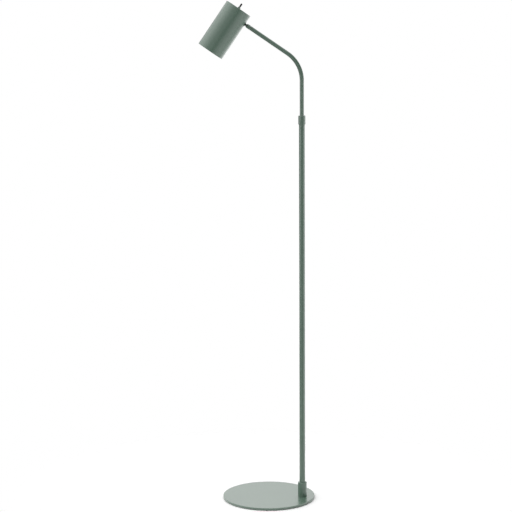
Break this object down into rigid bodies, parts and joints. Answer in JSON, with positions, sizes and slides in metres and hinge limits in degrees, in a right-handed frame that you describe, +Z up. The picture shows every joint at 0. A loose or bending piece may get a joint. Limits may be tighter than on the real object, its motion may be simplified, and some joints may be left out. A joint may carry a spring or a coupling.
{
  "type": "adjustable arm floor lamp",
  "caption": "Floor lamp with a round weighted base, a height-adjustable pole, a bent swivelling arm and a can shade that tilts on a small knuckle, toggle switch on top.",
  "frame": {"origin": "centre of the round base on the floor, under the middle pad", "axes": "+Z up; the pole stands at +X and the arm reaches from it towards -X at rest; the cable outlet faces +Y"},
  "size_m": [0.3306, 0.2714, 1.4629],
  "materials": {
    "sage_paint": "satin",
    "base_paint": "satin",
    "black_steel": "satin",
    "zinc_steel": "satin",
    "brass": "satin",
    "cap_metal": "satin",
    "nylon": "satin",
    "black_plastic": "satin",
    "lever_black": "gloss",
    "holder_white": "satin",
    "black_rubber": "matte",
    "pad_rubber": "matte",
    "lead_sheath": "satin",
    "opal_glass": "satin"
  },
  "bodies": {
    "stand": {"base_plate": "base_paint", "base_pads": "pad_rubber", "base_bolt": "zinc_steel", "foot_socket": "sage_paint", "pole_plug": "zinc_steel", "lower_pole": "sage_paint", "cable_grommet": "black_rubber", "clamp_ferrule": "sage_paint", "clamp_collet": "nylon"},
    "clamp_nut": {"clamp_nut": "sage_paint"},
    "slider": {"guide_bush": "nylon"},
    "arm": {"upper_tube": "sage_paint", "bush_clips": "zinc_steel", "arm_bush": "nylon"},
    "knuckle": {"joint_cup": "sage_paint", "joint_spigot": "zinc_steel", "spigot_clip": "zinc_steel", "pivot_screws": "black_steel"},
    "head": {"ball_stem": "black_steel", "saddle_washer": "nylon", "stem_nut": "zinc_steel", "shade": "sage_paint", "lamp_bracket": "zinc_steel", "switch_bushing": "zinc_steel", "switch_case": "black_plastic", "switch_lugs": "brass", "switch_nut": "sage_paint", "holder_nipple": "zinc_steel", "holder_nut": "zinc_steel", "holder_body": "holder_white", "holder_shell": "brass", "holder_contact": "brass", "bulb_cap": "cap_metal", "bulb_glass": "opal_glass", "switch_lead": "lead_sheath"},
    "switch_lever": {"switch_lever": "lever_black"}
  },
  "joints": [
    {"name": "clamp_twist", "type": "hinge", "parent": "stand", "child": "clamp_nut", "pos_m": [0.0995, -0.018, 1.1334], "axis": [0, 0, 1], "range_deg": [0, 90]},
    {"name": "height_slide", "type": "slide", "parent": "stand", "child": "slider", "axis": [0, 0, 1], "range_m": [-0.091, 0.2]},
    {"name": "arm_swivel", "type": "hinge", "parent": "slider", "child": "arm", "pos_m": [0.0995, -0.018, 1.1334], "axis": [0, 0, 1], "range_deg": [-165, 165]},
    {"name": "head_roll", "type": "hinge", "parent": "arm", "child": "knuckle", "pos_m": [-0.05587, -0.018, 1.39158], "axis": [-0.8251, 0, 0.565], "range_deg": [-165, 165]},
    {"name": "head_tilt", "type": "hinge", "parent": "knuckle", "child": "head", "pos_m": [-0.05587, -0.018, 1.39158], "axis": [0, 1, 0], "range_deg": [-45, 45]},
    {"name": "switch_toggle", "type": "hinge", "parent": "head", "child": "switch_lever", "pos_m": [-0.07843, -0.018, 1.44254], "axis": [0.8251, 0, -0.565], "range_deg": [0, 26]}
  ]
}
